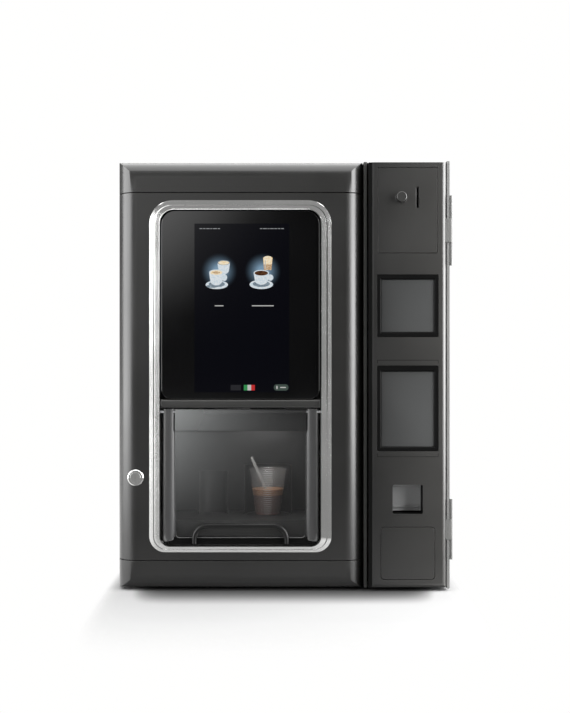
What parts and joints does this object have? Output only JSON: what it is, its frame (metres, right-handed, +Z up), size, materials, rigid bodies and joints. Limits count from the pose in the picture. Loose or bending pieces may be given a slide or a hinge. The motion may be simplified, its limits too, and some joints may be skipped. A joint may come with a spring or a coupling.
{
  "type": "hot coffee vending machine",
  "caption": "Tabletop hot drinks vending machine with a touch screen, a lifting cup flap in a chrome framed door, and a coin column beside it.",
  "frame": {"origin": "centre of the footprint on the floor", "axes": "+X to the right seen from the front, -Y towards the user, +Z up"},
  "size_m": [0.5851, 0.56, 0.75],
  "materials": {
    "front_moulding": "satin moulded anthracite plastic",
    "coated_steel": "fine textured powder coat",
    "bright_trim": "satin chrome",
    "black_glass": "polished black front glass",
    "screen": "flat colour screen",
    "black_plastic": "fine grained black",
    "smoked_plastic": "polished smoked plastic",
    "smoked_window": "clear smoked",
    "module_panel": "semi gloss grey",
    "pale_plastic": "satin light grey",
    "niche_plastic": "satin dark grey",
    "zinc_steel": "zinc plated sheet",
    "foot_rubber": "matt",
    "boiler_steel": "brushed",
    "machine_plastic": "moulded",
    "changer_plastic": "moulded",
    "pale_clear_plastic": "translucent",
    "white_plastic": "satin white",
    "pipe_copper": "drawn tube",
    "clear_cup": "clear ribbed plastic",
    "coffee": "liquid"
  },
  "bodies": {
    "cabinet": {"base_plate": "zinc_steel", "feet": "foot_rubber", "left_side_panel": "coated_steel", "partition": "zinc_steel", "back_panel": "coated_steel", "top_cap": "front_moulding", "plinth": "front_moulding", "door_pivot_pins": "zinc_steel", "lid_hinges": "zinc_steel", "niche_liner": "niche_plastic", "drip_tray": "niche_plastic", "nozzle_block": "niche_plastic", "service_shelf": "zinc_steel", "waste_bin": "machine_plastic", "boiler": "boiler_steel", "water_pump": "machine_plastic", "inlet_valve": "machine_plastic", "brew_unit": "machine_plastic", "grinder": "machine_plastic", "bean_hopper": "pale_clear_plastic", "canister_left": "pale_clear_plastic", "canister_right": "pale_clear_plastic", "hot_water_pipe": "pipe_copper", "column_housing": "coated_steel", "centre_mullion": "coated_steel", "column_hinge_leaves": "zinc_steel", "coin_changer": "changer_plastic", "coin_box": "machine_plastic"},
    "door": {"door_panel": "front_moulding", "chrome_ring": "bright_trim", "display_glass": "black_glass", "display_panel": "screen", "flap_header": "black_plastic", "door_back_cover": "niche_plastic", "lock_housing": "bright_trim", "flap_pin": "zinc_steel"},
    "lock": {"lock_barrel": "bright_trim"},
    "flap": {"flap_frame": "smoked_plastic", "flap_window": "smoked_window"},
    "lid": {"top_lid": "coated_steel"},
    "stand": {"cup_stand": "niche_plastic"},
    "cup_set": {"cup": "clear_cup", "coffee": "coffee", "stirrer": "white_plastic"},
    "piston": {"brew_piston": "machine_plastic"},
    "left_auger": {"auger_left": "white_plastic"},
    "right_auger": {"auger_right": "white_plastic"},
    "magazine": {"cup_magazine": "white_plastic"},
    "fan": {"fan_rotor": "black_plastic"},
    "column_door": {"column_front": "front_moulding", "payment_plate": "front_moulding", "upper_module_frame": "black_plastic", "upper_module_cover": "module_panel", "lower_module_frame": "black_plastic", "lower_module_cover": "module_panel", "bottom_cover": "front_moulding", "coin_return_cup": "black_plastic", "column_hinge_arms": "zinc_steel"},
    "return_button": {"coin_return_button": "black_plastic"},
    "return_flap": {"coin_return_flap": "pale_plastic"}
  },
  "joints": [
    {"name": "door_swing", "type": "hinge", "parent": "cabinet", "child": "door", "pos_m": [0.105, -0.233, 0.374], "axis": [0, 0, 1], "range_deg": [0, 90]},
    {"name": "flap_swing", "type": "hinge", "parent": "door", "child": "flap", "pos_m": [-0.075, -0.259, 0.3125], "axis": [1, 0, 0], "range_deg": [-75, 0]},
    {"name": "lock_turn", "type": "hinge", "parent": "door", "child": "lock", "pos_m": [-0.2575, -0.269, 0.198], "axis": [0, 1, 0], "range_deg": [0, 90]},
    {"name": "lid_lift", "type": "hinge", "parent": "cabinet", "child": "lid", "pos_m": [-0.075, 0.276, 0.7465], "axis": [-1, 0, 0], "range_deg": [0, 80]},
    {"name": "stand_lift", "type": "slide", "parent": "cabinet", "child": "stand", "axis": [0, 0, 1], "range_m": [0, 0.025]},
    {"name": "cup_lift", "type": "slide", "parent": "stand", "child": "cup_set", "axis": [0, 0, 1], "range_m": [0, 0.045]},
    {"name": "brew_press", "type": "slide", "parent": "cabinet", "child": "piston", "axis": [0, 0, -1], "range_m": [0, 0.02]},
    {"name": "left_auger_spin", "type": "hinge", "parent": "cabinet", "child": "left_auger", "pos_m": [-0.135, -0.123, 0.495], "axis": [0, 1, 0], "continuous": true},
    {"name": "right_auger_spin", "type": "hinge", "parent": "cabinet", "child": "right_auger", "pos_m": [-0.075, -0.123, 0.495], "axis": [0, 1, 0], "continuous": true},
    {"name": "magazine_turn", "type": "hinge", "parent": "cabinet", "child": "magazine", "pos_m": [0.0502, -0.1032, 0.352], "axis": [0, 0, 1], "continuous": true},
    {"name": "fan_spin", "type": "hinge", "parent": "cabinet", "child": "fan", "pos_m": [-0.195, 0.263, 0.605], "axis": [0, 1, 0], "continuous": true},
    {"name": "column_door_swing", "type": "hinge", "parent": "cabinet", "child": "column_door", "pos_m": [0.2926, -0.261, 0.375], "axis": [0, 0, 1], "range_deg": [0, 100]},
    {"name": "return_button_press", "type": "slide", "parent": "column_door", "child": "return_button", "axis": [0, 1, 0], "range_m": [0, 0.004], "stiffness_N_per_m": 300, "springref_m": -0.001},
    {"name": "return_flap_swing", "type": "hinge", "parent": "column_door", "child": "return_flap", "pos_m": [0.2163, -0.2385, 0.1823], "axis": [1, 0, 0], "range_deg": [0, 45]}
  ]
}
